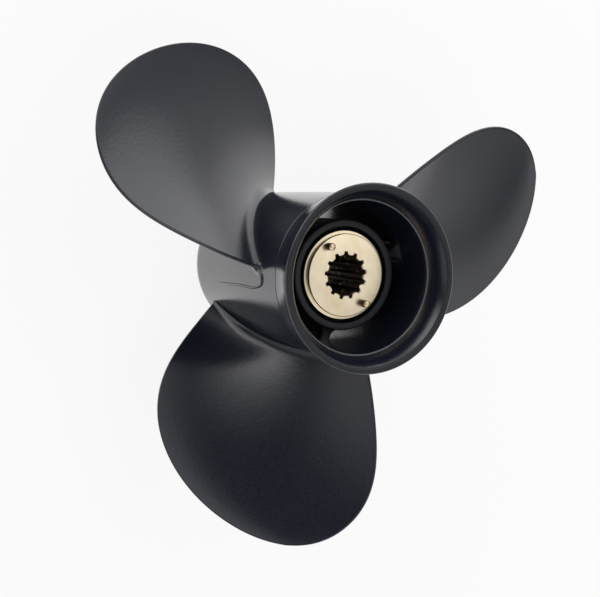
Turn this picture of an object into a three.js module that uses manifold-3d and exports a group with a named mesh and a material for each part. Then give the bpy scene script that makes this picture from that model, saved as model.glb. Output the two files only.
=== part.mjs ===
// Three-blade outboard propeller with a through-hub exhaust and a cushioned splined drive sleeve.
// Millimetres. The shaft axis is +Z and points aft, out of the exhaust mouth. Blade 1 points along +X.
// Heights are counted up the shaft axis from the flat front end of the barrel, which it stands on.
// The root group then moves the whole propeller so that its origin is the centre of volume.
import * as THREE from "three";
import { mergeVertices } from "three/addons/utils/BufferGeometryUtils.js";
import Module from "manifold-3d";

const degree = Math.PI / 180;

// Overall
const diameter = 292.1; // across the circle that the blade tips sweep, 11 1/2 in
const pitch = 330.2; // advance in one turn, 13 in, right-hand
const bladeCount = 3;
const seam = 0.3; // gap between two solids that meet on a curved face
const roundSegments = 60;

// Outer barrel of the exhaust passage
const barrelLength = 135;
const barrelRadius = 41.8;
const barrelWall = 4;
const noseLength = 7; // rounded front edge, measured along the shaft
const noseInset = 2.2; // and across it
const flareLength = 24; // rear stretch that widens to the mouth
const flareRise = 4.5;
const rimWidth = 2.8; // flat ring at the mouth
const bellDepth = 11; // bell turned inside the mouth
const bellLedge = 0.6; // small shoulder where the bell ends
const bellPull = 0.65; // the bell stays near the bore for this share of its depth, then opens to the rim
const bellTaper = 1.2; // it has widened by this much there

// Inner hub tube and its ribs
const hubRadius = 28.2;
const hubWall = 3.8;
const hubRound = 1; // on both edges of its rear end
const hubRecess = 28.6; // rear end of the tube, in from the mouth
const hubSetback = 4; // front end of the tube, in from the front end of the barrel
const ribWidth = 6;
const ribFillet = 4.2;
const ribTurn = 5 * degree; // ribs stand this far round from the blades' root lines
const ribRecess = 35; // rear end of the ribs, in from the mouth
const ribSetback = 8;

// Drive sleeve, rear plate and pins
const flangeRadius = 22.6;
const flangeThickness = 4;
const flangeRecess = 29.6; // rear face of the flange, in from the mouth
const sleeveRadius = 15;
const sleeveSetback = 5; // thrust face, in from the front end of the barrel
const sleeveChamfer = 1;
const plateRadius = 21;
const plateThickness = 2.4;
const splineTeeth = 13;
const splineMajorRadius = 11.7;
const splineMinorRadius = 10;
const splineTurn = -42 * degree; // middle of one groove
const grooveShare = 0.17; // half a groove, as a share of the tooth step
const pinRadius = 1.85;
const pinCircle = 17.8;
const pinStand = 4.6; // stands proud of the plate
const pinDome = 0.65;
const pinTurn = -8 * degree;

// Rubber cushion
const cushionSetback = 12; // front end, in from the front end of the barrel
const cushionClearance = 1; // below the flange, so that the flange can turn

// Blades
const rootNoseMargin = 17; // front end of the barrel to the leading edge at the root
const rootTailMargin = 40.4; // mouth to the trailing edge at the root
const tipSkew = 8.8 * degree;
const tipRake = 21.8;
const rootSag = 6; // hollow of the pressure side at mid chord, along the shaft
const tipSag = 4;
const rootThickness = 9;
const tipThickness = 3;
const edgeThickness = 2;
const rootFillet = 6;
const rootOverlap = 1.5;
const chordSteps = 14;
const spanSteps = 18;

// Values that follow from the ones above
const tipRadius = diameter / 2;
const bladeSpan = tipRadius - barrelRadius;
const boreRadius = barrelRadius - barrelWall;
const mouthRadius = barrelRadius + flareRise;
const hubBore = hubRadius - hubWall;
const hubTop = barrelLength - hubRecess;
const flangeTop = barrelLength - flangeRecess;
const flangeBottom = flangeTop - flangeThickness;
const plateTop = flangeTop + plateThickness;
const risePerRadian = pitch / (2 * Math.PI);
const rootRise = barrelLength - rootNoseMargin - rootTailMargin;
const rootHalfAngle = rootRise / 2 / risePerRadian;
const rootMiddle = rootNoseMargin + rootRise / 2;
const bladeTurn = (2 * Math.PI) / bladeCount;
const rootSocket = barrelRadius + seam;

const blackPaint = new THREE.MeshStandardMaterial({ color: 0x24262b, roughness: 0.42, metalness: 0 });
const blackRubber = new THREE.MeshStandardMaterial({ color: 0x141414, roughness: 0.85, metalness: 0 });
const paleBrass = new THREE.MeshStandardMaterial({ color: 0xe4d6b6, roughness: 0.3, metalness: 1 });
const pinBrass = new THREE.MeshStandardMaterial({ color: 0xb08d4a, roughness: 0.35, metalness: 1 });

const wasm = await Module();
wasm.setup();

// A closed three.js geometry as a solid that can be cut.
function toSolid(geometry) {
  const bare = geometry.clone();
  bare.deleteAttribute("normal");
  bare.deleteAttribute("uv");
  const merged = mergeVertices(bare);
  const vertProperties = merged.attributes.position.array;
  const triVerts = new Uint32Array(merged.index.array);
  return new wasm.Manifold(new wasm.Mesh({ numProp: 3, vertProperties, triVerts }));
}

function toGeometry(solid) {
  const mesh = solid.getMesh();
  const geometry = new THREE.BufferGeometry();
  geometry.setAttribute("position", new THREE.BufferAttribute(mesh.vertProperties, 3));
  geometry.setIndex(new THREE.BufferAttribute(mesh.triVerts, 1));
  geometry.computeVertexNormals();
  return geometry;
}

// Takes cutter geometries out of a body geometry.
function cut(body, ...cutters) {
  return toGeometry(cutters.reduce((solid, cutter) => solid.subtract(toSolid(cutter)), toSolid(body)));
}

// Turns a closed outline of (radius, height) about the shaft axis.
function turned(outline, segments = roundSegments, curvePoints = 6) {
  outline.closePath();
  return new THREE.LatheGeometry(outline.getPoints(curvePoints), segments).rotateX(Math.PI / 2);
}

// A prism from one height to another.
function prism(shape, bottom, top, curvePoints = 6) {
  const settings = { depth: top - bottom, bevelEnabled: false, curveSegments: curvePoints };
  return new THREE.ExtrudeGeometry(shape, settings).translate(0, 0, bottom);
}

function namedMesh(name, geometry, material) {
  const mesh = new THREE.Mesh(geometry, material);
  mesh.name = name;
  return mesh;
}

// Tube with a rounded front edge outside, and a flare, a flat rim and a turned bell at the mouth.
function outerBarrel() {
  const rimInner = mouthRadius - rimWidth;
  const shoulder = boreRadius + bellLedge;
  const bellBottom = barrelLength - bellDepth;
  const outline = new THREE.Path();
  outline.moveTo(boreRadius, 0);
  outline.lineTo(barrelRadius - noseInset, 0);
  outline.absellipse(barrelRadius - noseInset, noseLength, noseInset, noseLength, -Math.PI / 2, 0);
  outline.lineTo(barrelRadius, barrelLength - flareLength);
  outline.quadraticCurveTo(barrelRadius, barrelLength - flareLength / 2, mouthRadius, barrelLength);
  outline.lineTo(rimInner, barrelLength);
  outline.quadraticCurveTo(shoulder + bellTaper, bellBottom + bellDepth * bellPull, shoulder, bellBottom);
  outline.lineTo(boreRadius, bellBottom);
  return turned(outline);
}

// Tube that holds the cushion, with rounded edges at its rear end.
function innerHub() {
  const outline = new THREE.Path();
  outline.moveTo(hubBore, hubSetback);
  outline.lineTo(hubRadius, hubSetback);
  outline.lineTo(hubRadius, hubTop - hubRound);
  outline.absarc(hubRadius - hubRound, hubTop - hubRound, hubRound, 0, Math.PI / 2);
  outline.lineTo(hubBore + hubRound, hubTop);
  outline.absarc(hubBore + hubRound, hubTop - hubRound, hubRound, Math.PI / 2, Math.PI);
  return turned(outline, roundSegments, 2);
}

// Web between the hub tube and the barrel, seen along the shaft: two arcs joined by filleted flanks.
function rib() {
  const inner = hubRadius + seam;
  const outer = boreRadius - seam;
  const half = ribWidth / 2;
  const foot = half + ribFillet;
  const innerAngle = Math.asin(foot / inner);
  const outerAngle = Math.asin(foot / outer);
  const innerFlank = inner + ribFillet;
  const outerFlank = outer - ribFillet;
  const plan = new THREE.Shape();
  plan.moveTo(inner * Math.cos(innerAngle), -foot);
  plan.quadraticCurveTo(inner, -half, innerFlank, -half);
  plan.lineTo(outerFlank, -half);
  plan.quadraticCurveTo(outer, -half, outer * Math.cos(outerAngle), -foot);
  plan.absarc(0, 0, outer, -outerAngle, outerAngle);
  plan.quadraticCurveTo(outer, half, outerFlank, half);
  plan.lineTo(innerFlank, half);
  plan.quadraticCurveTo(inner, half, inner * Math.cos(innerAngle), foot);
  plan.absarc(0, 0, inner, innerAngle, -innerAngle, true);
  return prism(plan, ribSetback, barrelLength - ribRecess, 4);
}

// Place on a blade. Span runs 0 at the barrel to 1 at the tip, chord -1 at the leading edge to 1 at
// the trailing edge, and side -1 forward to 1 aft.
function bladePoint(span, chord, side) {
  const radius = barrelRadius + bladeSpan * span;
  const outlineShare = 1 - 0.51 * span + 0.45 * span ** 2 - 0.48 * span ** 3;
  const roundTip = Math.sqrt(1 - 0.998 * span ** 6);
  const halfAngle = rootHalfAngle * outlineShare * roundTip;
  const skew = tipSkew * (-0.69 * span + 0.35 * span ** 2 + 1.34 * span ** 3);
  const rake = tipRake * (1.95 * span - 1.93 * span ** 2 + 0.98 * span ** 3);
  const sag = (rootSag + (tipSag - rootSag) * span) * (1 - chord ** 2) * roundTip;
  const middle = rootThickness + (tipThickness - rootThickness) * span;
  const thickness = edgeThickness + (middle - edgeThickness) * (1 - chord ** 2);
  const above = THREE.MathUtils.clamp((bladeSpan * span) / rootFillet, 0, 1);
  const fillet = rootFillet * (1 - Math.sqrt(1 - (1 - above) ** 2));
  const slope = Math.atan(risePerRadian / radius); // of the helix at this radius
  const offset = side * (thickness / 2 + fillet);
  const along = chord * (halfAngle + (fillet * Math.cos(slope)) / radius);
  const angle = skew + along - (offset * Math.sin(slope)) / radius;
  const height = rootMiddle + risePerRadian * (skew + along) + rake - sag + offset * Math.cos(slope);
  return new THREE.Vector3(radius * Math.cos(angle), radius * Math.sin(angle), height);
}

// A block bent into one blade. Its rows are closer together at the root and at the tip, and its
// root starts inside the barrel and is cut back to a seam around it.
function blade() {
  const start = -rootOverlap / bladeSpan;
  const geometry = new THREE.BoxGeometry(2, 1, 2, chordSteps, spanSteps, 1);
  const position = geometry.attributes.position;
  for (let i = 0; i < position.count; i++) {
    const share = position.getY(i) + 0.5;
    const span = THREE.MathUtils.lerp(start, 1, 1 - (1 - share ** 2) ** 2.4);
    const point = bladePoint(span, position.getX(i), -position.getZ(i));
    position.setXYZ(i, point.x, point.y, point.z);
  }
  const socket = new THREE.CylinderGeometry(rootSocket, rootSocket, 2 * barrelLength, roundSegments);
  return cut(geometry, socket.rotateX(Math.PI / 2));
}

// Outline of the splined hole: rounded teeth that reach in to the minor radius, narrow grooves between.
function splineHole() {
  const step = (2 * Math.PI) / splineTeeth;
  const grooveHalf = step * grooveShare;
  const at = (radius, angle) => [radius * Math.cos(angle), radius * Math.sin(angle)];
  const outline = new THREE.Shape();
  outline.moveTo(...at(splineMajorRadius, splineTurn - grooveHalf));
  for (let i = 0; i < splineTeeth; i++) {
    const middle = splineTurn + i * step;
    const nextGroove = middle + step;
    const crest = 2 * splineMinorRadius - splineMajorRadius;
    outline.lineTo(...at(splineMajorRadius, middle + grooveHalf));
    outline.quadraticCurveTo(
      ...at(crest, middle + step / 2),
      ...at(splineMajorRadius, nextGroove - grooveHalf),
    );
  }
  return outline;
}

// The two pins stand opposite each other on the pin circle.
function pinPlaces() {
  return [0, 1].map((i) => {
    const angle = pinTurn + i * Math.PI;
    return new THREE.Vector2(pinCircle * Math.cos(angle), pinCircle * Math.sin(angle));
  });
}

function pinHoles(bottom, top) {
  return pinPlaces().map((place) => {
    const hole = new THREE.CylinderGeometry(pinRadius + seam, pinRadius + seam, top - bottom, 24);
    return hole.rotateX(Math.PI / 2).translate(place.x, place.y, (bottom + top) / 2);
  });
}

// Bush with a splined bore, a thrust face at the front and a flange at the rear.
function splineSleeve() {
  const outline = new THREE.Path();
  outline.moveTo(0, sleeveSetback);
  outline.lineTo(sleeveRadius - sleeveChamfer, sleeveSetback);
  outline.lineTo(sleeveRadius, sleeveSetback + sleeveChamfer);
  outline.lineTo(sleeveRadius, flangeBottom);
  outline.lineTo(flangeRadius, flangeBottom);
  outline.lineTo(flangeRadius, flangeTop);
  outline.lineTo(0, flangeTop);
  const spline = prism(splineHole(), sleeveSetback - 1, flangeTop + 1, 5);
  return cut(turned(outline), spline, ...pinHoles(flangeBottom - 1, flangeTop + 1));
}

// Raised disc on the flange, with the same splined hole.
function rearPlate() {
  const height = plateThickness;
  const disc = new THREE.CylinderGeometry(plateRadius, plateRadius, height, roundSegments);
  disc.rotateX(Math.PI / 2).translate(0, 0, flangeTop + height / 2);
  const spline = prism(splineHole(), flangeTop - 1, plateTop + 1, 5);
  return cut(disc, spline, ...pinHoles(flangeTop - 1, plateTop + 1));
}

// Dowel from the front of the flange to its domed end above the plate.
function locatingPin() {
  const length = plateTop + pinStand - flangeBottom;
  const outline = new THREE.Path();
  outline.moveTo(0, 0);
  outline.lineTo(pinRadius, 0);
  outline.lineTo(pinRadius, length - pinDome);
  outline.absellipse(0, length - pinDome, pinRadius, pinDome, 0, Math.PI / 2);
  return turned(outline, 20, 3);
}

// Rubber ring between the sleeve and the hub tube.
function rubberCushion() {
  const inner = sleeveRadius + seam;
  const outer = hubBore - seam;
  const top = flangeBottom - cushionClearance;
  const outline = new THREE.Path();
  outline.moveTo(inner, cushionSetback);
  outline.lineTo(outer, cushionSetback);
  outline.lineTo(outer, top);
  outline.lineTo(inner, top);
  return turned(outline, 48);
}

// Height of the centre of volume of a group's meshes.
function volumeCentreHeight(group) {
  let volume = 0;
  let moment = 0;
  const corners = [new THREE.Vector3(), new THREE.Vector3(), new THREE.Vector3()];
  group.updateMatrixWorld(true);
  group.traverse((mesh) => {
    if (!mesh.isMesh) return;
    const separate = mesh.geometry.index ? mesh.geometry.toNonIndexed() : mesh.geometry;
    const position = separate.attributes.position;
    for (let i = 0; i < position.count; i += 3) {
      corners.forEach((corner, k) => {
        corner.fromBufferAttribute(position, i + k).applyMatrix4(mesh.matrixWorld);
      });
      const [a, b, c] = corners;
      const wedge = a.dot(b.clone().cross(c)) / 6;
      volume += wedge;
      moment += (wedge * (a.z + b.z + c.z)) / 4;
    }
  });
  return moment / volume;
}

const propeller = new THREE.Group();

const casting = new THREE.Group();
casting.add(namedMesh("outer_barrel", outerBarrel(), blackPaint));
casting.add(namedMesh("inner_hub", innerHub(), blackPaint));
for (let i = 0; i < bladeCount; i++) {
  const oneBlade = namedMesh(`blade_${i + 1}`, blade(), blackPaint);
  const oneRib = namedMesh(`rib_${i + 1}`, rib(), blackPaint);
  oneBlade.rotation.z = i * bladeTurn;
  oneRib.rotation.z = i * bladeTurn + ribTurn;
  casting.add(oneBlade, oneRib);
}
casting.add(namedMesh("rubber_cushion", rubberCushion(), blackRubber));
propeller.add(casting);

const drive = new THREE.Group();
drive.add(namedMesh("spline_sleeve", splineSleeve(), paleBrass));
drive.add(namedMesh("rear_plate", rearPlate(), paleBrass));
pinPlaces().forEach((place, i) => {
  const pin = namedMesh(`locating_pin_${i + 1}`, locatingPin(), pinBrass);
  pin.position.set(place.x, place.y, flangeBottom);
  drive.add(pin);
});
propeller.add(drive);

propeller.position.z = -volumeCentreHeight(propeller);

export default propeller;
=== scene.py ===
# Three-blade outboard propeller: one painted aluminium casting around a brass drive sleeve.
import bmesh
import bpy
import math
import numpy as np
from mathutils import Matrix, Vector


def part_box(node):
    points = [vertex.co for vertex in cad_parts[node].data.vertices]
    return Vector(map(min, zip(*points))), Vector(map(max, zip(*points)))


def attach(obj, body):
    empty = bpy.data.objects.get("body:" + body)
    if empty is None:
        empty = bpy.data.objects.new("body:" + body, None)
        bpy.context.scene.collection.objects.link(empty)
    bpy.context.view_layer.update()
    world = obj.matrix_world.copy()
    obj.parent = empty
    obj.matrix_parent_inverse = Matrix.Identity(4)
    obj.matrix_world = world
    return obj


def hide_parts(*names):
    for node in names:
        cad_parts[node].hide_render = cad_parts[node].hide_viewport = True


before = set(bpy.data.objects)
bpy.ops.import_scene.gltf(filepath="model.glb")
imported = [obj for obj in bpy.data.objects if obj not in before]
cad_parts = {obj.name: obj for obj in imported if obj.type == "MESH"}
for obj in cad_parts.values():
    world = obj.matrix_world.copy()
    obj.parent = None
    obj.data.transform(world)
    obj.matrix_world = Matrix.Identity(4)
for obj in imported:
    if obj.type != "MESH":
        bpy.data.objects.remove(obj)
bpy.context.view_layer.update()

scene = bpy.context.scene
millimetre = 0.001
bladeCount = 3

# Heights below are millimetres above the flat front end of the barrel, and radii are from the shaft axis.
frontEnd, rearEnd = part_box("outer_barrel")[0].z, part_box("outer_barrel")[1].z
mouthHeight = (rearEnd - frontEnd) / millimetre
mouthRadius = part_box("outer_barrel")[1].x / millimetre


# Height above the front end, (z - front end) in millimetres, of a z in the frame's metres.
def heightOf(z):
    return (z - frontEnd) / millimetre


# A closed grid of points is one surface: row i, column j joins row i+1 and column j+1.
def gridFaces(rows, columns, rowsClose):
    i, j = np.meshgrid(np.arange(rows if rowsClose else rows - 1), np.arange(columns), indexing="ij")
    nextI, nextJ = (i + 1) % rows, (j + 1) % columns
    corners = [i * columns + j, i * columns + nextJ, nextI * columns + nextJ, nextI * columns + j]
    return np.stack(corners, axis=-1).reshape(-1, 4)


# Puts a grid of millimetre points into a mesh, z = front end + height, merges its poles and points its
# faces outwards. Each face's material number comes from the paint function, and is 0 without one.
def addPiece(name, grid, materials, body, nodes=(), rowsClose=True, crease=35, paint=None):
    rows, columns = grid.shape[:2]
    faces = gridFaces(rows, columns, rowsClose)
    points = grid.reshape(-1, 3) * millimetre + np.array([0, 0, frontEnd])
    mesh = bpy.data.meshes.new(name)
    mesh.vertices.add(len(points))
    mesh.vertices.foreach_set("co", points.astype(np.float32).ravel())
    mesh.loops.add(faces.size)
    mesh.loops.foreach_set("vertex_index", faces.astype(np.int32).ravel())
    mesh.polygons.add(len(faces))
    mesh.polygons.foreach_set("loop_start", np.arange(0, faces.size, 4, dtype=np.int32))
    if paint is not None:
        mesh.polygons.foreach_set("material_index", paint(grid, faces).astype(np.int32))
    mesh.update(calc_edges=True)
    work = bmesh.new()
    work.from_mesh(mesh)
    bmesh.ops.remove_doubles(work, verts=work.verts, dist=1e-7)
    bmesh.ops.recalc_face_normals(work, faces=work.faces)
    work.to_mesh(mesh)
    work.free()
    mesh.shade_smooth()
    mesh.set_sharp_from_angle(angle=math.radians(crease))
    for material in materials:
        mesh.materials.append(material)
    piece = bpy.data.objects.new(name, mesh)
    scene.collection.objects.link(piece)
    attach(piece, body)
    if nodes:
        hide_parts(*nodes)
    return piece


# Outline pieces are arrays of (radius, height). A straight one is start (1-t) + end t.
def straight(start, end, steps=1):
    share = np.linspace(0, 1, steps + 1)[:, None]
    return np.array(start) * (1 - share) + np.array(end) * share


# An arc of an ellipse: centre + (across cos, up sin) from one angle in degrees to another.
def rounded(centre, across, up, startAngle, endAngle, steps=8):
    turn = np.radians(np.linspace(startAngle, endAngle, steps + 1))
    return np.stack([centre[0] + across * np.cos(turn), centre[1] + up * np.sin(turn)], axis=1)


# A curve of the second degree: (1-t)^2 start + 2t(1-t) pull + t^2 end.
def bent(start, pull, end, steps=16):
    t = np.linspace(0, 1, steps + 1)[:, None]
    return (1 - t) ** 2 * np.array(start) + 2 * t * (1 - t) * np.array(pull) + t ** 2 * np.array(end)


# Turns a closed outline about the shaft: (r cos a, r sin a, h).
def turned(outline, segments, centre=(0, 0)):
    angle = np.arange(segments) * 2 * np.pi / segments
    radius, height = outline[:, :1], outline[:, 1:]
    x = centre[0] + radius * np.cos(angle)
    y = centre[1] + radius * np.sin(angle)
    return np.stack([x, y, np.broadcast_to(height, x.shape)], axis=-1)


# An sRGB hex value as linear light: c / 12.92 up to 0.04045, and ((c + 0.055) / 1.055)^2.4 above it.
def linearColour(code):
    parts = [int(code[k:k + 2], 16) / 255 for k in (1, 3, 5)]
    return tuple(p / 12.92 if p <= 0.04045 else ((p + 0.055) / 1.055) ** 2.4 for p in parts) + (1.0,)


# Adds a node, sets its properties and sockets, and links sockets given as (node, output). A socket goes by
# its number after a _, or by its name with _ for each blank.
def addNode(tree, kind, settings=None, **sockets):
    node = tree.nodes.new(kind)
    for key, value in (settings or {}).items():
        setattr(node, key, value)
    for key, value in sockets.items():
        socket = node.inputs[int(key[1:])] if key[0] == "_" else node.inputs[key.replace("_", " ")]
        if isinstance(value, tuple) and len(value) == 2 and isinstance(value[0], bpy.types.Node):
            tree.links.new(value[0].outputs[value[1]], socket)
        else:
            socket.default_value = value
    return node


# A material with its node tree and its main shader.
def newMaterial(name):
    material = bpy.data.materials.new(name)
    material.use_nodes = True
    tree = material.node_tree
    shader = next(n for n in tree.nodes if n.type == "BSDF_PRINCIPLED")
    return material, tree, shader


# The scale of a pattern, 1000 / size, from the size of one of its cells in millimetres.
def perMetre(millimetres):
    return 1000 / millimetres


# Peel, grain and patch are sizes in millimetres, and the grain's height is given against the peel's.
castPaint = dict(
    dark="#10131c", light="#1c202d", roughness=0.21, patchy=0.03, ior=1.58,
    peel=2.6, grain=1.05, patch=60, grainHeight=1.4, bumpStrength=0.45, bumpDepth=0.0001,
)


# Die-cast aluminium under baked satin enamel: a faintly blue black with a soft shine, a slight orange peel,
# patches that are a little duller, and a fine spray grain, drawn coarser than the real 0.2 mm so that it
# shows.
def enamelledCasting():
    material, tree, shader = newMaterial("satin_black_enamel_on_cast_aluminium")
    place = addNode(tree, "ShaderNodeTexCoord")
    peel = addNode(tree, "ShaderNodeTexNoise", Vector=(place, "Object"),
                   Scale=perMetre(castPaint["peel"]), Detail=2.0, Roughness=0.5)
    grain = addNode(tree, "ShaderNodeTexNoise", Vector=(place, "Object"),
                    Scale=perMetre(castPaint["grain"]), Detail=3.0, Roughness=0.6)
    patch = addNode(tree, "ShaderNodeTexNoise", Vector=(place, "Object"),
                    Scale=perMetre(castPaint["patch"]), Detail=2.0)
    tone = addNode(tree, "ShaderNodeMapRange", _0=(grain, "Fac"), _1=0.35, _2=0.65)
    colour = addNode(tree, "ShaderNodeMix", {"data_type": "RGBA"}, _0=(tone, "Result"),
                     _6=linearColour(castPaint["dark"]), _7=linearColour(castPaint["light"]))
    shine = addNode(tree, "ShaderNodeMapRange", _0=(patch, "Fac"), _1=0.3, _2=0.7,
                    _3=castPaint["roughness"] - castPaint["patchy"],
                    _4=castPaint["roughness"] + castPaint["patchy"])
    heights = addNode(tree, "ShaderNodeMath", {"operation": "MULTIPLY_ADD"},
                      _0=(grain, "Fac"), _1=castPaint["grainHeight"], _2=(peel, "Fac"))
    bump = addNode(tree, "ShaderNodeBump", Height=(heights, "Value"),
                   Strength=castPaint["bumpStrength"], Distance=castPaint["bumpDepth"])
    tree.links.new(colour.outputs[2], shader.inputs["Base Color"])
    tree.links.new(shine.outputs["Result"], shader.inputs["Roughness"])
    tree.links.new(bump.outputs["Normal"], shader.inputs["Normal"])
    shader.inputs["IOR"].default_value = castPaint["ior"]
    return material


# The same enamel in a rough skin: a dull one of overspray, or a pale grey one that is a painted highlight
# on an edge.
def oversprayAndPaintedHighlight(name, dark, light, roughness):
    material, tree, shader = newMaterial(name)
    place = addNode(tree, "ShaderNodeTexCoord")
    speck = addNode(tree, "ShaderNodeTexNoise", Vector=(place, "Object"),
                    Scale=perMetre(castPaint["grain"]), Detail=3.0, Roughness=0.6)
    tone = addNode(tree, "ShaderNodeMapRange", _0=(speck, "Fac"), _1=0.35, _2=0.65)
    colour = addNode(tree, "ShaderNodeMix", {"data_type": "RGBA"}, _0=(tone, "Result"),
                     _6=linearColour(dark), _7=linearColour(light))
    bump = addNode(tree, "ShaderNodeBump", Height=(speck, "Fac"),
                   Strength=0.3, Distance=castPaint["bumpDepth"])
    tree.links.new(colour.outputs[2], shader.inputs["Base Color"])
    tree.links.new(bump.outputs["Normal"], shader.inputs["Normal"])
    shader.inputs["Roughness"].default_value = roughness
    return material


sleeveBrass = dict(colour="#f0e2c6", shade="#e2d2ae", roughness=0.28, ringRadian=0.45, wavePhase=20)


# Brass, faced on a lathe and plated pale: champagne, with shallow turning rings that spread its highlights,
# drawn coarser than the real 0.2 mm so that they show. One radian of the ring pattern takes 0.45 mm, so the
# rings lie 2 pi x 0.45 mm apart. The pattern runs through 20 radians in a metre at scale 1.
def platedBrass():
    material, tree, shader = newMaterial("turned_plated_brass")
    place = addNode(tree, "ShaderNodeTexCoord")
    rings = addNode(tree, "ShaderNodeTexWave", {"wave_type": "RINGS", "rings_direction": "Z"},
                    Vector=(place, "Object"), Distortion=0.4,
                    Scale=perMetre(sleeveBrass["ringRadian"]) / sleeveBrass["wavePhase"])
    stain = addNode(tree, "ShaderNodeTexNoise", Vector=(place, "Object"), Scale=perMetre(9), Detail=3.0)
    tone = addNode(tree, "ShaderNodeMapRange", _0=(stain, "Fac"), _1=0.4, _2=0.75)
    colour = addNode(tree, "ShaderNodeMix", {"data_type": "RGBA"}, _0=(tone, "Result"),
                     _6=linearColour(sleeveBrass["colour"]), _7=linearColour(sleeveBrass["shade"]))
    bump = addNode(tree, "ShaderNodeBump", Height=(rings, "Fac"), Strength=0.15, Distance=0.00003)
    shader.inputs["Metallic"].default_value = 1.0
    shader.inputs["Roughness"].default_value = sleeveBrass["roughness"]
    tree.links.new(colour.outputs[2], shader.inputs["Base Color"])
    tree.links.new(bump.outputs["Normal"], shader.inputs["Normal"])
    return material


# The flange's and plate's outer walls and the pins' sides are a darker, rougher brown: painted shade.
def brassWithPaintedShade():
    material, tree, shader = newMaterial("brass_walls_painted_shade")
    place = addNode(tree, "ShaderNodeTexCoord")
    stretch = addNode(tree, "ShaderNodeMapping", Vector=(place, "Object"), Scale=(1, 1, 4))
    marks = addNode(tree, "ShaderNodeTexNoise", Vector=(stretch, "Vector"), Scale=perMetre(1.5), Detail=3.0)
    colour = addNode(tree, "ShaderNodeMix", {"data_type": "RGBA"}, _0=(marks, "Fac"),
                     _6=linearColour("#3a2a16"), _7=linearColour("#6e5437"))
    shader.inputs["Metallic"].default_value = 1.0
    shader.inputs["Roughness"].default_value = 0.5
    tree.links.new(colour.outputs[2], shader.inputs["Base Color"])
    return material


# The broached bore: dark brown painted shade, draw marks along the shaft, and a few painted glints.
def boreWithPaintedShade():
    material, tree, shader = newMaterial("broached_brass_painted_shade_and_glints")
    place = addNode(tree, "ShaderNodeTexCoord")
    stretch = addNode(tree, "ShaderNodeMapping", Vector=(place, "Object"), Scale=(1, 1, 0.05))
    marks = addNode(tree, "ShaderNodeTexNoise", Vector=(stretch, "Vector"), Scale=perMetre(0.8), Detail=2.0)
    glintNoise = addNode(tree, "ShaderNodeTexNoise", Vector=(place, "Object"), Scale=perMetre(5), Detail=4.0)
    glintMask = addNode(tree, "ShaderNodeMapRange", _0=(glintNoise, "Fac"), _1=0.6, _2=0.66)
    boreShade = addNode(tree, "ShaderNodeMix", {"data_type": "RGBA"}, _0=(marks, "Fac"),
                   _6=linearColour("#2c211a"), _7=linearColour("#6b5644"))
    colour = addNode(tree, "ShaderNodeMix", {"data_type": "RGBA"}, _0=(glintMask, "Result"),
                     _7=linearColour("#d9bd84"))
    tree.links.new(boreShade.outputs[2], colour.inputs[6])
    shader.inputs["Metallic"].default_value = 0.6
    shader.inputs["Roughness"].default_value = 0.42
    tree.links.new(colour.outputs[2], shader.inputs["Base Color"])
    return material


# Drawn brass rod, bright on its polished dome: a deeper yellow than the plate.
def drawnBrass():
    material, tree, shader = newMaterial("drawn_brass_rod")
    place = addNode(tree, "ShaderNodeTexCoord")
    scuff = addNode(tree, "ShaderNodeTexNoise", Vector=(place, "Object"), Scale=perMetre(0.6), Detail=2.0)
    shine = addNode(tree, "ShaderNodeMapRange", _0=(scuff, "Fac"), _3=0.22, _4=0.38)
    colour = addNode(tree, "ShaderNodeMix", {"data_type": "RGBA"}, _0=(scuff, "Fac"),
                     _6=linearColour("#d2b888"), _7=linearColour("#efe0c0"))
    shader.inputs["Metallic"].default_value = 1.0
    tree.links.new(colour.outputs[2], shader.inputs["Base Color"])
    tree.links.new(shine.outputs["Result"], shader.inputs["Roughness"])
    return material


# Moulded nitrile rubber: dull charcoal with a faint bloom and a fine pitted skin.
def mouldedRubber():
    material, tree, shader = newMaterial("moulded_nitrile_rubber")
    place = addNode(tree, "ShaderNodeTexCoord")
    bloom = addNode(tree, "ShaderNodeTexNoise", Vector=(place, "Object"), Scale=perMetre(6), Detail=4.0)
    pits = addNode(tree, "ShaderNodeTexNoise", Vector=(place, "Object"), Scale=perMetre(0.8), Detail=2.0)
    colour = addNode(tree, "ShaderNodeMix", {"data_type": "RGBA"}, _0=(bloom, "Fac"),
                     _6=linearColour("#111112"), _7=linearColour("#1f1f20"))
    bump = addNode(tree, "ShaderNodeBump", Height=(pits, "Fac"), Strength=0.3, Distance=0.0001)
    shader.inputs["Roughness"].default_value = 0.75
    tree.links.new(colour.outputs[2], shader.inputs["Base Color"])
    tree.links.new(bump.outputs["Normal"], shader.inputs["Normal"])
    return material


enamel = enamelledCasting()
dullEnamel = oversprayAndPaintedHighlight("dry_enamel_overspray", "#0d0f15", "#171b24", 0.6)
# Pale grey enamel for the bell's ledge: a painted highlight.
ledgeHighlightEnamel = oversprayAndPaintedHighlight("pale_enamel_painted_ledge_highlight", "#4a4d52", "#66696e", 0.45)
brass = platedBrass()
# Brown brass: painted shade on the side walls of the flange, plate and pins.
shadedWallBrass = brassWithPaintedShade()
# Dark brown brass: painted shade in the splined holes, with bright painted glints.
boreShadeBrass = boreWithPaintedShade()
pinMetal = drawnBrass()
rubber = mouldedRubber()
print("materials made")

barrel = dict(
    radius=41.8, wall=4, noseLength=7, noseInset=2.2, boreChamfer=0.5,
    flareLength=24, rimWidth=2.8, outerEdge=1.2, innerEdge=0.9,
    bellDepth=11, bellLedge=0.6, bellPull=0.65, bellTaper=1.2, cornerRound=0.3, rimSetIn=0.08,
    lineHeight=113.4, lineDepth=0.22, lineWidth=0.8, lineFloor=0.3, lineRise=0.02, segments=288,
)


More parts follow.
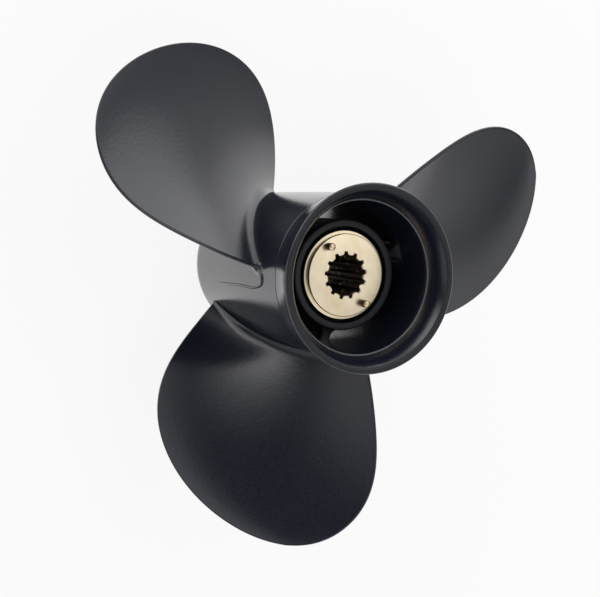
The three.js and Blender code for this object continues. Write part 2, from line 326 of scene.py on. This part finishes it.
# Outline of the barrel wall: bore, quarter-ellipse nose, flare with its machined line, rim and the bell
# inside it. The flare and the bell are curves of the second degree between their two ends, and the line is
# a shallow groove with a flat floor and sloping sides.
def barrelOutline():
    b = barrel
    bore = b["radius"] - b["wall"]
    noseRadius = b["radius"] - b["noseInset"]
    rimInner = mouthRadius - b["rimWidth"]
    shoulder = bore + b["bellLedge"]
    bottom = mouthHeight - b["bellDepth"]
    flare = mouthHeight - b["flareLength"]
    line, dip, half = b["lineHeight"], b["lineDepth"], b["lineWidth"] / 2
    flat = half * b["lineFloor"]
    outer, inner, corner = b["outerEdge"], b["innerEdge"], b["cornerRound"]
    flarePull = (b["radius"], mouthHeight - b["flareLength"] / 2)
    curve = bent((b["radius"], flare), flarePull, (mouthRadius, mouthHeight), 60)
    below = curve[curve[:, 1] < line - half]
    above = curve[(curve[:, 1] > line + half) & (curve[:, 1] < mouthHeight - outer)]
    middle = np.array([np.interp(line, curve[:, 1], curve[:, 0]), line])
    pull = (shoulder + b["bellTaper"], bottom + b["bellDepth"] * b["bellPull"])
    bell = bent((rimInner, mouthHeight), pull, (shoulder, bottom), 40)
    bell = bell[(bell[:, 1] < mouthHeight - inner) & (bell[:, 1] > bottom + corner)]
    return np.concatenate([
        straight((bore, b["boreChamfer"]), (bore + b["boreChamfer"], 0)),
        straight((bore + b["boreChamfer"], 0), (noseRadius, 0)),
        rounded((noseRadius, b["noseLength"]), b["noseInset"], b["noseLength"], -90, 0, 14),
        straight((b["radius"], b["noseLength"]), (b["radius"], flare), 24),
        below,
        middle + np.array([(0, -half), (-dip, -flat), (-dip, flat), (b["lineRise"], half)]),
        above,
        rounded((mouthRadius - outer - b["rimSetIn"], mouthHeight - outer), outer, outer, 0, 90, 6),
        bent((rimInner + inner, mouthHeight), (rimInner, mouthHeight), bell[0], 8),
        bell[1:],
        rounded((shoulder - corner, bottom + corner), corner, corner, 0, -90, 3),
        rounded((bore + corner, bottom - corner), corner, corner, 90, 180, 4),
        straight((bore, bottom - corner), (bore, b["boreChamfer"]), 40),
    ])


# The ledge at the foot of the bell is a machined corner whose pale grey enamel is a painted highlight.
# The rim's end face, inside its outer edge, took a dry coat.
def barrelPaint(grid, faces):
    row = faces[:, 0] // grid.shape[1]
    middle = (grid[row, 0] + grid[(row + 1) % grid.shape[0], 0]) / 2
    radius, height = middle[:, 0], middle[:, 2]
    ledgeHeight = mouthHeight - barrel["bellDepth"]
    shoulder = barrel["radius"] - barrel["wall"] + barrel["bellLedge"]
    atLedge = (np.abs(height - ledgeHeight) < barrel["cornerRound"]) & (radius < shoulder)
    atRim = (height > mouthHeight - barrel["innerEdge"]) & (radius < mouthRadius - barrel["outerEdge"] / 2)
    return np.where(atLedge, 1, np.where(atRim, 2, 0))


addPiece("cast_barrel", turned(barrelOutline(), barrel["segments"]), [enamel, ledgeHighlightEnamel, dullEnamel],
         "casting", ["outer_barrel"], paint=barrelPaint)

hub = dict(wall=3.8, rearRound=1.2, frontRound=0.6, segments=216)
hub["radius"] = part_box("inner_hub")[1].x / millimetre
hub["front"] = heightOf(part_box("inner_hub")[0].z)
hub["rear"] = heightOf(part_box("inner_hub")[1].z)


# Outline of the hub tube's wall: two straight sides with a quarter circle at each corner.
def hubOutline():
    outer, inner = hub["radius"], hub["radius"] - hub["wall"]
    rear, front, r, f = hub["rear"], hub["front"], hub["rearRound"], hub["frontRound"]
    return np.concatenate([
        rounded((outer - f, front + f), f, f, -90, 0, 4),
        straight((outer, front + f), (outer, rear - r), 30),
        rounded((outer - r, rear - r), r, r, 0, 90, 8),
        rounded((inner + r, rear - r), r, r, 90, 180, 8),
        straight((inner, rear - r), (inner, front + f), 30),
        rounded((inner + f, front + f), f, f, 180, 270, 4),
    ])


# The spray barely reaches the tube's rear end.
def hubPaint(grid, faces):
    row = faces[:, 0] // grid.shape[1]
    middle = (grid[row, 0] + grid[(row + 1) % grid.shape[0], 0]) / 2
    return np.where(middle[:, 2] > hub["rear"] - hub["rearRound"], 1, 0)


addPiece("cast_hub", turned(hubOutline(), hub["segments"]), [enamel, dullEnamel], "casting",
         ["inner_hub"], paint=hubPaint)

rib = dict(width=6, fillet=4.5, endFillet=1.5, edge=2, front=8, rearInset=35, turn=5, sink=0.5)
rib["rear"] = mouthHeight - rib["rearInset"]


# A closed rounded rectangle as four lists: the signs of each point's corner, and its arc's cosine and sine.
def rectangleLoop(cornerSteps=8, sideSteps=12):
    corners = [(1, 1, 0), (-1, 1, 90), (-1, -1, 180), (1, -1, 270)]
    points = []
    for across, up, start in corners:
        for turn in np.radians(np.linspace(start, start + 90, cornerSteps + 1)):
            points.append((across, up, math.cos(turn), math.sin(turn)))
        if up * across < 0:
            for share in np.linspace(up, -up, sideSteps + 1)[1:-1]:
                points.append((across, share, across, 0))
    return np.array(points).T


# A rib is that loop, width by length, carried out from the hub to the bore. At both ends the loop grows by
# a quarter-circle fillet, and it bends round the shaft so that its feet lie on the two walls.
def ribSurface(turn):
    inner, outer, fillet = hub["radius"], barrel["radius"] - barrel["wall"], rib["fillet"]
    quarter = np.radians(np.linspace(0, 90, 14))
    rise, grow = fillet * (1 - np.cos(quarter)), 1 - np.sin(quarter)
    lowEnd, highEnd = inner - rib["sink"], outer + rib["sink"]
    radius = [[lowEnd, lowEnd], inner + rise, (outer - rise)[::-1], [highEnd, highEnd]]
    radius = np.concatenate(radius)[:, None]
    growth = np.concatenate([[0, 1], grow, grow[::-1], [1, 0]])[:, None]
    there = np.ones(len(radius))[:, None]
    there[0] = there[-1] = 0
    acrossSign, upSign, cosine, sine = rectangleLoop()
    edge = rib["edge"] * there
    halfWidth = (rib["width"] / 2 + fillet * growth) * there
    halfLength = ((rib["rear"] - rib["front"]) / 2 + rib["endFillet"] * growth) * there
    across = acrossSign * (halfWidth - edge) + edge * cosine
    height = (rib["rear"] + rib["front"]) / 2 + upSign * (halfLength - edge) + edge * sine
    angle = across / radius + math.radians(turn)
    return np.stack([radius * np.cos(angle), radius * np.sin(angle), height], axis=-1)


# A rib's rear end, deep in the mouth, is as dry as the tube's.
def ribPaint(grid, faces):
    height = grid.reshape(-1, 3)[faces, 2].mean(axis=1)
    return np.where(height > rib["rear"] - rib["edge"], 1, 0)


for i in range(bladeCount):
    addPiece(f"cast_rib_{i + 1}", ribSurface(rib["turn"] + 360 / bladeCount * i), [enamel, dullEnamel],
             "casting", [f"rib_{i + 1}"], rowsClose=False, paint=ribPaint)
print("barrel, hub and ribs made")

blade = dict(
    diameter=292.1, pitch=330.2, noseMargin=17, tailMargin=40.4, tipSkew=8.8, tipRake=21.8,
    chordShare=(-0.51, 0.45, -0.48), skewShare=(-0.69, 0.35, 1.34), rakeShare=(1.95, -1.93, 0.98),
    tipRound=6, rootSag=6, tipSag=4, rootThickness=9, tipThickness=3, edgeThickness=2, edgeTrim=0.1,
    filletRise=6.5, filletRun=4.6, filletStart=0.25, filletFull=-0.2, crease=0.45, creaseFade=-0.6,
    sink=1, loopSteps=240, spanSteps=150, filletSteps=18,
)
risePerRadian = blade["pitch"] / (2 * math.pi)
rootRise = mouthHeight - blade["noseMargin"] - blade["tailMargin"]
rootMiddle = blade["noseMargin"] + rootRise / 2
rootHalfAngle = rootRise / 2 / risePerRadian
tipRadius = blade["diameter"] / 2 - blade["edgeTrim"]
bladeSpan = tipRadius - barrel["radius"]


# A cubic that starts from 0: a t + b t^2 + c t^3.
def cubic(shares, t):
    return shares[0] * t + shares[1] * t ** 2 + shares[2] * t ** 3


# Square of the half width along the helix: (half angle x share x radius / cos slope)^2 (1 - span^6), with
# share = 1 + a cubic of the span.
def widthSquared(radius):
    span = (radius - barrel["radius"]) / bladeSpan
    share = 1 + cubic(blade["chordShare"], span)
    cosine = radius / np.hypot(radius, risePerRadian)
    return (rootHalfAngle * share * radius / cosine) ** 2 * (1 - span ** blade["tipRound"])


# A point of the blade from its radius, its distance along the helix and its distance off it. The helix
# carries a skew angle and a rake along the shaft, each a cubic of the span, and a hollow that is deepest at
# mid chord, hollow (1 - chord^2) sqrt(1 - span^6).
def onHelix(radius, chord, along, offset):
    span = (radius - barrel["radius"]) / bladeSpan
    length = np.hypot(radius, risePerRadian)
    sine, cosine = risePerRadian / length, radius / length
    skew = math.radians(blade["tipSkew"]) * cubic(blade["skewShare"], span)
    rake = blade["tipRake"] * cubic(blade["rakeShare"], span)
    hollow = blade["rootSag"] + (blade["tipSag"] - blade["rootSag"]) * span
    sag = hollow * (1 - chord ** 2) * np.sqrt(np.maximum(1 - span ** blade["tipRound"], 0))
    turn = skew + along * cosine / radius
    angle = turn - offset * sine / radius
    height = rootMiddle + risePerRadian * turn + rake - sag + offset * cosine
    return np.stack([radius * np.cos(angle), radius * np.sin(angle), height], axis=-1)


# 0 below the first value, 1 above the second, and 3t^2 - 2t^3 between them.
def smoothStep(low, high, value):
    t = np.clip((value - low) / (high - low), 0, 1)
    return t * t * (3 - 2 * t)


# One blade as loops round its section, from the root to the tip. A section is a flat lens with half-round
# edges, thickness edge + (middle - edge)(1 - chord^2). Near the barrel each loop is pushed out along its
# own normal by a fillet curve, so that the foot lies on the barrel. The fillet is small at the leading
# edge, grows towards mid chord, and meets the pressure side in a crease there.
def bladeSurface():
    b = blade
    loop = np.arange(b["loopSteps"]) * 2 * np.pi / b["loopSteps"]
    chord, side = -np.cos(loop), np.sign(np.sin(loop) + 1e-12)
    t = np.linspace(0, 1, b["filletSteps"])[:, None]
    full = b["filletStart"] + (1 - b["filletStart"]) * smoothStep(-1, b["filletFull"], chord)
    nearEdge = 1 - smoothStep(b["creaseFade"], 0, chord)
    pull = b["crease"] * b["filletRun"] * full * nearEdge * (side > 0)
    rise = t ** 2 * b["filletRise"] * full
    run = (1 - t) ** 2 * b["filletRun"] * full + 2 * t * (1 - t) * pull
    s = np.linspace(0, 1, b["spanSteps"])[1:, None]
    rest = b["filletRise"] * full + (bladeSpan - b["filletRise"] * full) * (1 - (1 - s) ** 2)
    sunk = np.full((2, b["loopSteps"]), -b["sink"])
    radius = barrel["radius"] + np.concatenate([sunk, rise, rest])
    grow = np.concatenate([sunk * 0 + b["filletRun"], run, rest * 0])
    span = (radius - barrel["radius"]) / bladeSpan
    square = widthSquared(radius)
    nudge = 0.01
    slopeOfSquare = (widthSquared(radius + nudge) - widthSquared(radius - nudge)) / (2 * nudge)
    width = np.sqrt(np.maximum(square, 0))
    along = chord * width
    toEdge = square * (1 - chord ** 2) / np.sqrt(slopeOfSquare ** 2 + 4 * along ** 2 + 1e-9)
    half = b["edgeThickness"] / 2
    edge = half * np.sqrt(1 - (1 - np.clip(toEdge / half, 0, 1)) ** 2)
    middle = b["rootThickness"] + (b["tipThickness"] - b["rootThickness"]) * span
    offset = side * (edge + (middle / 2 - half) * (1 - chord ** 2))
    dAlong = np.roll(along, -1, axis=1) - np.roll(along, 1, axis=1)
    dOffset = np.roll(offset, -1, axis=1) - np.roll(offset, 1, axis=1)
    size = np.hypot(dAlong, dOffset) + 1e-9
    outAlong = along - grow * dOffset / size
    outOffset = offset + grow * dAlong / size
    outOffset[0] = 0  # the first loop is flat, and closes the root inside the wall
    return onHelix(radius, chord, outAlong, outOffset)


# Turns a grid about the shaft: x cos - y sin, and x sin + y cos.
def turnAboutShaft(grid, degrees):
    c, s = math.cos(math.radians(degrees)), math.sin(math.radians(degrees))
    return grid @ np.array([[c, s, 0], [-s, c, 0], [0, 0, 1]])


firstBlade = bladeSurface()
for i in range(bladeCount):
    addPiece(f"cast_blade_{i + 1}", turnAboutShaft(firstBlade, 360 / bladeCount * i), [enamel], "casting",
             [f"blade_{i + 1}"], rowsClose=False, crease=28)
print("blades made")

castLine = dict(
    path=((94.6, 42.3), (97.7, 48.8), (96.0, 53.7), (88.5, 56.2),
          (79.9, 57.1), (66, 57), (53.6, 58), (30.9, 59.1)),
    width=1.3, height=0.8, sink=0.3, taper=0.6, steps=220, ringSteps=16,
)


# The raised line that the mould's core leaves on the barrel: it hooks round the trailing edge's foot and
# runs to the front. It is a cubic curve through (height, azimuth) points, with the slope at each point half
# the step between its neighbours, and carries a low half-ellipse that tapers at both ends.
def castLineSurface():
    c = castLine
    path = np.array(c["path"])
    path = np.concatenate([path[:1] * 2 - path[1:2], path, path[-1:] * 2 - path[-2:-1]])
    share = np.linspace(0, len(c["path"]) - 1 - 1e-9, c["steps"])
    k, t = share.astype(int), (share % 1)[:, None]
    p0, p1, p2, p3 = path[k], path[k + 1], path[k + 2], path[k + 3]
    square, cube = 2 * p0 - 5 * p1 + 4 * p2 - p3, 3 * p1 - p0 - 3 * p2 + p3
    line = 0.5 * (2 * p1 + (p2 - p0) * t + square * t ** 2 + cube * t ** 3)
    height, around = line[:, 0], np.radians(line[:, 1]) * barrel["radius"]
    along = np.stack([np.gradient(around), np.gradient(height)], axis=1)
    along /= np.linalg.norm(along, axis=1)[:, None]
    end = np.minimum(share, share[-1] - share)
    taper = np.sqrt(np.clip(end / c["taper"], 0, 1))[:, None]
    ring = np.arange(c["ringSteps"]) * 2 * np.pi / c["ringSteps"]
    across = c["width"] / 2 * np.cos(ring) * taper
    up = (c["height"] + c["sink"]) * np.sin(ring).clip(0) * taper - c["sink"]
    angle = (around[:, None] + across * -along[:, 1:]) / barrel["radius"]
    z = height[:, None] + across * along[:, :1]
    radius = barrel["radius"] + up
    return np.stack([radius * np.cos(angle), radius * np.sin(angle), z], axis=-1)


firstLine = castLineSurface()
for i in range(bladeCount):
    addPiece(f"core_line_{i + 1}", turnAboutShaft(firstLine, 360 / bladeCount * i), [enamel], "casting",
             rowsClose=False)

sleeve = dict(
    radius=15, chamfer=1, flangeThickness=4, edge=0.35, teeth=13, major=11.7, minor=10,
    grooveTurn=-42, grooveShare=0.17, toothFlank=4, toothCrest=0.45, mouthChamfer=0.5,
    holeShadeRows=32, brownRows=(36, 43), segments=416,
)
sleeve["flange"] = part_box("spline_sleeve")[1].x / millimetre
sleeve["front"] = heightOf(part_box("spline_sleeve")[0].z)
sleeve["rear"] = heightOf(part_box("spline_sleeve")[1].z)
plate = dict(edge=0.45, holeShadeRows=3, brownRows=(8, 13))
plate["radius"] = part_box("rear_plate")[1].x / millimetre
plate["rear"] = heightOf(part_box("rear_plate")[1].z)


# Radius of the splined hole by angle: narrow grooves at the major radius, and between them rounded teeth
# that stand in by (major - minor) (1 - (1 - x)^4)^0.45, with x from 0 at a groove to 1 at a tooth's middle.
def splineRadius(angle):
    step = 2 * math.pi / sleeve["teeth"]
    place = np.mod((angle - math.radians(sleeve["grooveTurn"])) / step + 0.5, 1) - 0.5
    groove = sleeve["grooveShare"]
    across = np.clip((np.abs(place) - groove) / (0.5 - groove), 0, 1)
    tooth = (1 - (1 - across) ** sleeve["toothFlank"]) ** sleeve["toothCrest"]
    return sleeve["major"] - (sleeve["major"] - sleeve["minor"]) * tooth


# A turned outline whose first points keep to the splined hole: radius = hole radius + a small step. The
# other points are at their own radius all round.
def splinedSurface(holePart, outline, segments):
    angle = np.arange(segments) * 2 * np.pi / segments
    hole = splineRadius(angle)
    inner = np.stack([hole[None, :] + holePart[:, :1] + 0 * angle, holePart[:, 1:] + 0 * angle], axis=-1)
    outer = np.broadcast_to(outline[:, None, :], (len(outline), segments, 2))
    flat = np.concatenate([inner, outer])
    return np.stack([flat[..., 0] * np.cos(angle), flat[..., 0] * np.sin(angle), flat[..., 1]], axis=-1)


# The sleeve: a tube with a chamfer at its front, and at its rear a flange whose two edges are rounded.
def sleeveSurface():
    s = sleeve
    bottom, e, m = s["rear"] - s["flangeThickness"], s["edge"], s["mouthChamfer"]
    holePart = np.concatenate([
        straight((m, s["front"]), (0, s["front"] + m)),
        straight((0, s["front"] + m), (0, s["rear"]), 30),
    ])
    outline = np.concatenate([
        rounded((s["flange"] - e, s["rear"] - e), e, e, 90, 0, 4),
        rounded((s["flange"] - e, bottom + e), e, e, 0, -90, 4),
        straight((s["radius"], bottom), (s["radius"], s["front"] + s["chamfer"]), 20),
        straight((s["radius"], s["front"] + s["chamfer"]), (s["radius"] - s["chamfer"], s["front"])),
    ])
    return splinedSurface(holePart, outline, s["segments"])


# The plate: a disc on the flange with one rounded edge, and a chamfer round its hole.
def plateSurface():
    low, high, e, m = sleeve["rear"], plate["rear"], plate["edge"], sleeve["mouthChamfer"]
    holePart = np.concatenate([
        straight((0, low), (0, high - m), 3),
        straight((0, high - m), (m, high)),
    ])
    outline = np.concatenate([
        rounded((plate["radius"] - e, high - e), e, e, 90, 0, 5),
        straight((plate["radius"], high - e), (plate["radius"], low), 3),
    ])
    return splinedSurface(holePart, outline, sleeve["segments"])


# Rows of faces are counted along the hole and on round the outline. The hole's first rows are painted
# shade, a band of rows at the rim wall is brown painted shade, and the rest is plated.
def splinedPaint(piece):
    start, end = piece["brownRows"]

    def paint(grid, faces):
        row = faces[:, 0] // grid.shape[1]
        brown = (row >= start) & (row < end)
        return np.where(row < piece["holeShadeRows"], 1, np.where(brown, 2, 0))
    return paint


addPiece("drive_sleeve", sleeveSurface(), [brass, boreShadeBrass, shadedWallBrass], "drive_sleeve",
         ["spline_sleeve"], paint=splinedPaint(sleeve))
addPiece("thrust_plate", plateSurface(), [brass, boreShadeBrass, shadedWallBrass], "drive_sleeve",
         ["rear_plate"], paint=splinedPaint(plate))

pin = dict(dome=0.65, sideSteps=12, domeSteps=12, segments=64)


# A round pin with a domed end; its place and size are those of its own box.
def pinSurface(node):
    low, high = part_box(node)
    centre = ((low.x + high.x) / 2 / millimetre, (low.y + high.y) / 2 / millimetre)
    radius = (high.y - low.y) / 2 / millimetre
    bottom, top = heightOf(low.z), heightOf(high.z)
    outline = np.concatenate([
        [(0, bottom), (radius, bottom)],
        straight((radius, bottom), (radius, top - pin["dome"]), pin["sideSteps"]),
        rounded((0, top - pin["dome"]), radius, pin["dome"], 0, 90, pin["domeSteps"]),
    ])
    return turned(outline, pin["segments"], centre)


# The dome is bright, and the rows below it, two for the base and those of the side, are brown: painted
# shade.
def pinPaint(grid, faces):
    return np.where(faces[:, 0] // grid.shape[1] >= 2 + pin["sideSteps"], 0, 1)


for i in (1, 2):
    addPiece(f"domed_pin_{i}", pinSurface(f"locating_pin_{i}"), [pinMetal, shadedWallBrass], "drive_sleeve",
             [f"locating_pin_{i}"], rowsClose=False, crease=50, paint=pinPaint)

cushion = dict(gap=0.3, dish=2.0, dishRound=1.5, acrossSteps=24, sideSteps=20, segments=144)


# The cushion is a thick ring with a small gap to the sleeve, and its two ends are dished: depth = dish
# sin(pi x)^1.5, with x from 0 at the inner edge to 1 at the outer.
def cushionOutline():
    low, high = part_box("rubber_cushion")
    outer, inner = high.x / millimetre, sleeve["radius"] + cushion["gap"]
    bottom, top = heightOf(low.z), heightOf(high.z)
    across = np.linspace(inner, outer, cushion["acrossSteps"])
    arch = np.sin(np.pi * (across - inner) / (outer - inner)) ** cushion["dishRound"]
    dish = cushion["dish"] * arch
    front = np.stack([across, bottom + dish], axis=1)
    rear = np.stack([across[::-1], top - dish], axis=1)
    outside = straight((outer, bottom), (outer, top), cushion["sideSteps"])
    inside = straight((inner, top), (inner, bottom), cushion["sideSteps"])
    return np.concatenate([front, outside, rear, inside])


addPiece("rubber_ring", turned(cushionOutline(), cushion["segments"]), [rubber], "casting",
         ["rubber_cushion"])
print("sleeve, plate, pins and cushion made")

cameraView = dict(
    azimuth=124.08, elevation=63.39, roll=102.48, distance=451.8, lookAt=(20.76, 33.86),
    lens=58.67, sensor=36,
)


# The camera stands at target + distance x back, where back = (sin a cos e, -cos a cos e, sin e), looks at
# the target on the mouth's plane, and is rolled about its own axis.
def addCamera():
    v = cameraView
    a, e = math.radians(v["azimuth"]), math.radians(v["elevation"])
    back = Vector((math.sin(a) * math.cos(e), -math.cos(a) * math.cos(e), math.sin(e)))
    target = Vector((v["lookAt"][0] * millimetre, v["lookAt"][1] * millimetre, rearEnd))
    data = bpy.data.cameras.new("camera")
    data.lens, data.sensor_width = v["lens"], v["sensor"]
    camera = bpy.data.objects.new("camera", data)
    turn = (-back).to_track_quat("-Z", "Y").to_matrix() @ Matrix.Rotation(math.radians(v["roll"]), 3, "Z")
    camera.matrix_world = Matrix.Translation(target + back * v["distance"] * millimetre) @ turn.to_4x4()
    scene.collection.objects.link(camera)
    scene.camera = camera
    return camera


camera = addCamera()

# Sizes in metres. Glow is the share of the floor that shines by itself near the object, and it grows to 1
# between glowStart and glowFull from the shaft axis.
studio = dict(
    floorRadius=4.0, floorGap=0.0002, glow=0.87, glowStart=0.25, glowFull=1.3, sheen=1.4, deepSheen=0.2,
    backLevel=0.6, frontLevel=0.12, roomEdge=0.3,
)

softBox = dict(right=0.65, up=0.76, back=0.04, size=0.6, power=1.4)

# Soft lights by their place to the view's right, up and back, the angles where they start and end to fade,
# and their level. The room between them, behind the camera, is dark.
softLights = dict(
    overhead=(0.3, 0.95, -0.06, 10, 50, 1.1),
    farPanel=(0.96, 0.27, -0.08, 5, 28, 0.2),
    tableGlow=(0.31, -0.7, 0.64, 5, 35, 1.3),
    leftPanel=(-0.47, 0.74, 0.49, 5, 35, 2.0),
    rightPanel=(0.73, 0.39, 0.56, 5, 35, 1.05),
    frontPanel=(-0.25, 0.62, 0.74, 5, 32, 0.8),
    lowLeftPanel=(-0.53, -0.37, 0.77, 5, 35, 0.7),
    lowPanel=(0.5, -0.86, -0.07, 5, 35, 0.5),
    sideReflector=(0.8, -0.22, 0.55, 8, 26, 0.65),
)


# A white sweep: most of it glows for the eye and for reflections, and the rest is lit, so it keeps a shadow
# near the object and runs into the white room further out. A first reflection sees it at full sheen, and a
# reflection of a reflection sees little of it.
def addFloor():
    work = bmesh.new()
    bmesh.ops.create_circle(work, cap_ends=True, radius=studio["floorRadius"], segments=96)
    mesh = bpy.data.meshes.new("floor")
    work.to_mesh(mesh)
    work.free()
    material = bpy.data.materials.new("white_floor")
    material.use_nodes = True
    tree = material.node_tree
    tree.nodes.clear()
    path = addNode(tree, "ShaderNodeLightPath")
    side = addNode(tree, "ShaderNodeNewGeometry")
    seen = addNode(tree, "ShaderNodeMath", {"operation": "MAXIMUM"},
                   _0=(path, "Is Camera Ray"), _1=(path, "Is Glossy Ray"))
    seenToo = addNode(tree, "ShaderNodeMath", {"operation": "MAXIMUM"},
                      _0=(seen, "Value"), _1=(path, "Is Transmission Ray"))
    reach = addNode(tree, "ShaderNodeVectorMath", {"operation": "LENGTH"}, _0=(side, "Position"))
    glow = addNode(tree, "ShaderNodeMapRange", _0=(reach, "Value"),
                   _1=studio["glowStart"], _2=studio["glowFull"], _3=studio["glow"], _4=1.0)
    share = addNode(tree, "ShaderNodeMath", {"operation": "MULTIPLY"},
                    _0=(seenToo, "Value"), _1=(glow, "Result"))
    lit = addNode(tree, "ShaderNodeBsdfDiffuse", Color=(0.95, 0.95, 0.95, 1))
    mirrored = addNode(tree, "ShaderNodeMapRange", _0=(path, "Ray Depth"), _1=1.0, _2=2.0,
                       _3=studio["sheen"], _4=studio["deepSheen"])
    strength = addNode(tree, "ShaderNodeMix", _0=(path, "Is Glossy Ray"), _2=1.0, _3=(mirrored, "Result"))
    shine = addNode(tree, "ShaderNodeEmission", Color=(1, 1, 1, 1), Strength=(strength, 0))
    top = addNode(tree, "ShaderNodeMixShader",
                  _0=(share, "Value"), _1=(lit, "BSDF"), _2=(shine, "Emission"))
    clear = addNode(tree, "ShaderNodeBsdfTransparent")
    both = addNode(tree, "ShaderNodeMixShader",
                   _0=(side, "Backfacing"), _1=(top, "Shader"), _2=(clear, "BSDF"))
    addNode(tree, "ShaderNodeOutputMaterial", Surface=(both, "Shader"))
    mesh.materials.append(material)
    mesh.transform(Matrix.Translation((0, 0, frontEnd - studio["floorGap"])))
    floor = bpy.data.objects.new("floor", mesh)
    scene.collection.objects.link(floor)


# White all round for the eye. For light and reflections it is bright on the far side and dark on the
# camera's side, with the soft lights added.
def addWorld():
    world = bpy.data.worlds.new("studio")
    scene.world = world
    world.use_nodes = True
    tree = world.node_tree
    tree.nodes.clear()
    path = addNode(tree, "ShaderNodeLightPath")
    place = addNode(tree, "ShaderNodeTexCoord")
    axes = camera.matrix_world.to_3x3()

    def facing(direction):
        return addNode(tree, "ShaderNodeVectorMath", {"operation": "DOT_PRODUCT"},
                       _0=(place, "Generated"), _1=tuple((axes @ Vector(direction)).normalized()))

    total = addNode(tree, "ShaderNodeMapRange", {"interpolation_type": "SMOOTHSTEP"},
                    _0=(facing((0, 0, 1)), "Value"), _1=-studio["roomEdge"], _2=studio["roomEdge"],
                    _3=studio["backLevel"], _4=studio["frontLevel"])
    output = "Result"
    for right, up, back, start, end, level in softLights.values():
        lobe = addNode(tree, "ShaderNodeMapRange", {"interpolation_type": "SMOOTHSTEP"},
                       _0=(facing((right, up, back)), "Value"), _1=math.cos(math.radians(end)),
                       _2=math.cos(math.radians(start)), _3=0.0, _4=level)
        total = addNode(tree, "ShaderNodeMath", {"operation": "ADD"},
                        _0=(total, output), _1=(lobe, "Result"))
        output = "Value"
    light = addNode(tree, "ShaderNodeBackground", Color=(1, 1, 1, 1), Strength=(total, output))
    white = addNode(tree, "ShaderNodeBackground", Color=(1, 1, 1, 1), Strength=1.0)
    seen = addNode(tree, "ShaderNodeMath", {"operation": "MAXIMUM"},
                   _0=(path, "Is Camera Ray"), _1=(path, "Is Transmission Ray"))
    both = addNode(tree, "ShaderNodeMixShader",
                   _0=(seen, "Value"), _1=(light, "Background"), _2=(white, "Background"))
    addNode(tree, "ShaderNodeOutputWorld", Surface=(both, "Shader"))


# A square soft box that looks at the object: place = right, up and back offsets along the camera's axes.
def addLamp(name, right, up, back, size, power):
    axes = camera.matrix_world.to_3x3()
    place = axes @ Vector((right, up, back))
    data = bpy.data.lights.new(name, "AREA")
    data.shape, data.size, data.energy = "SQUARE", size, power
    lamp = bpy.data.objects.new(name, data)
    lamp.matrix_world = Matrix.Translation(place) @ place.to_track_quat("Z", "Y").to_matrix().to_4x4()
    lamp.visible_camera = False
    scene.collection.objects.link(lamp)


addFloor()
addWorld()
addLamp("softbox_right", **softBox)
print("camera, floor and light made")

scene.view_settings.view_transform = "Standard"
